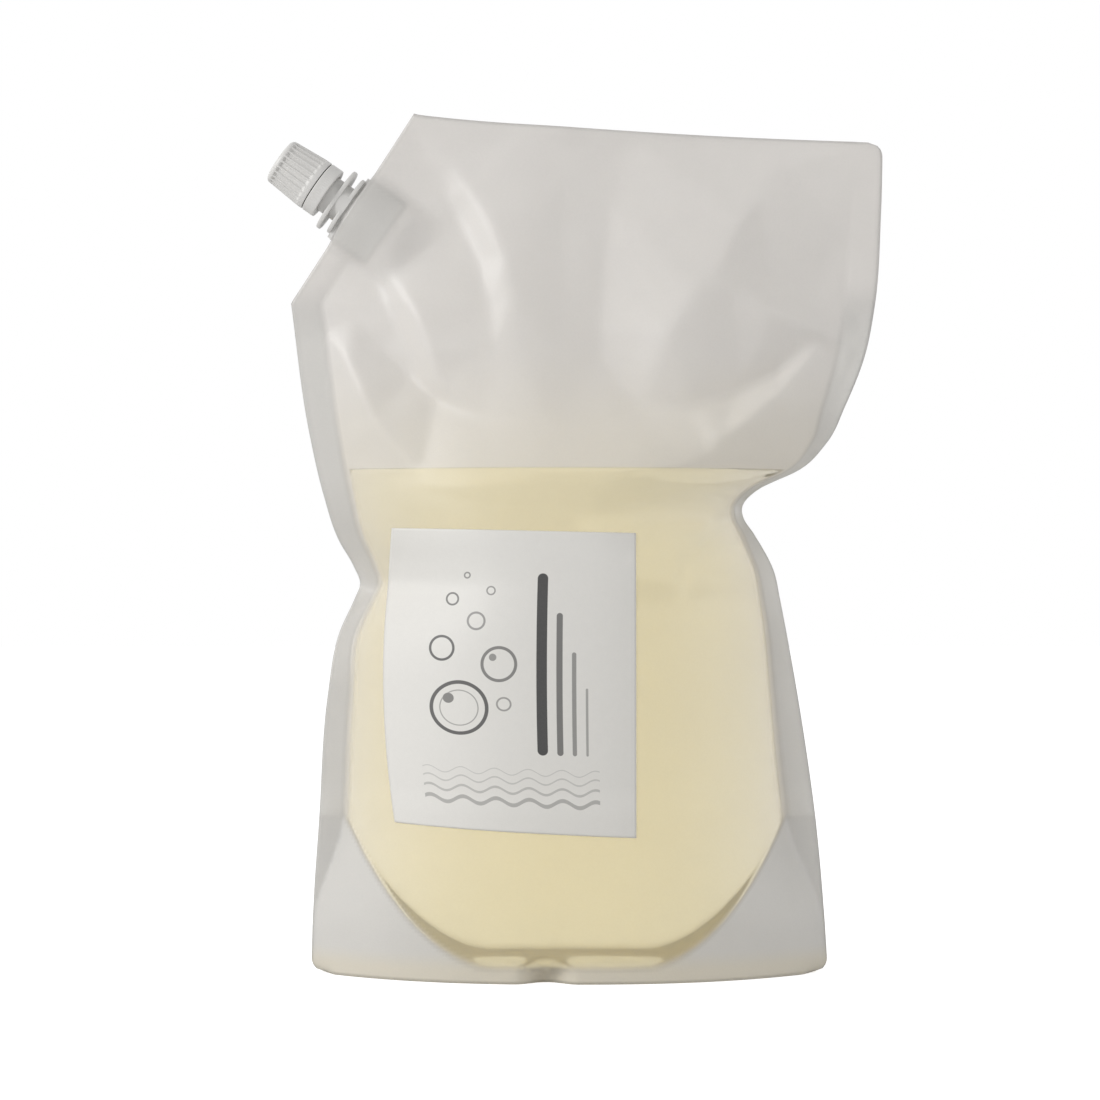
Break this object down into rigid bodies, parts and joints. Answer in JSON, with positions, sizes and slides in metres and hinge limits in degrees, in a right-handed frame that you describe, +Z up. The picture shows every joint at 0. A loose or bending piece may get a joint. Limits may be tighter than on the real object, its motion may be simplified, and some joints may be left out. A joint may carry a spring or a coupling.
{
  "type": "hand soap refill pack",
  "caption": "Stand-up refill pouch of frosted film, about half full of pale yellow soap, with a slanted corner spout, a ribbed screw cap and a paper label.",
  "frame": {"origin": "on the floor, under the middle of the pack's box", "axes": "+Z up, -Y out of the labelled front, -X towards the spout"},
  "size_m": [0.213, 0.0786, 0.296],
  "materials": {
    "film": "satin",
    "white_plastic": "satin",
    "liner_foam": "matte",
    "label_paper": "matte",
    "soap": "gloss"
  },
  "bodies": {
    "pack": {"front_panel": "film", "back_panel": "film", "bottom_gusset": "film", "liquid_soap": "soap", "label": "label_paper", "spout": "white_plastic", "tamper_band": "white_plastic"},
    "liner": {"cap_seal_disc": "liner_foam"},
    "closure": {"cap": "white_plastic"}
  },
  "joints": [
    {"name": "cap_lift", "type": "slide", "parent": "pack", "child": "liner", "axis": [-0.8192, 0, 0.5736], "range_m": [0, 0.016]},
    {"name": "cap_turn", "type": "hinge", "parent": "liner", "child": "closure", "pos_m": [-0.08961, 0.00038, 0.271], "axis": [-0.8192, 0, 0.5736], "range_deg": [0, 1800]}
  ],
  "couplings": [
    {"joint": "cap_turn", "follows": "cap_lift", "rad_per_m": 1963.5}
  ]
}
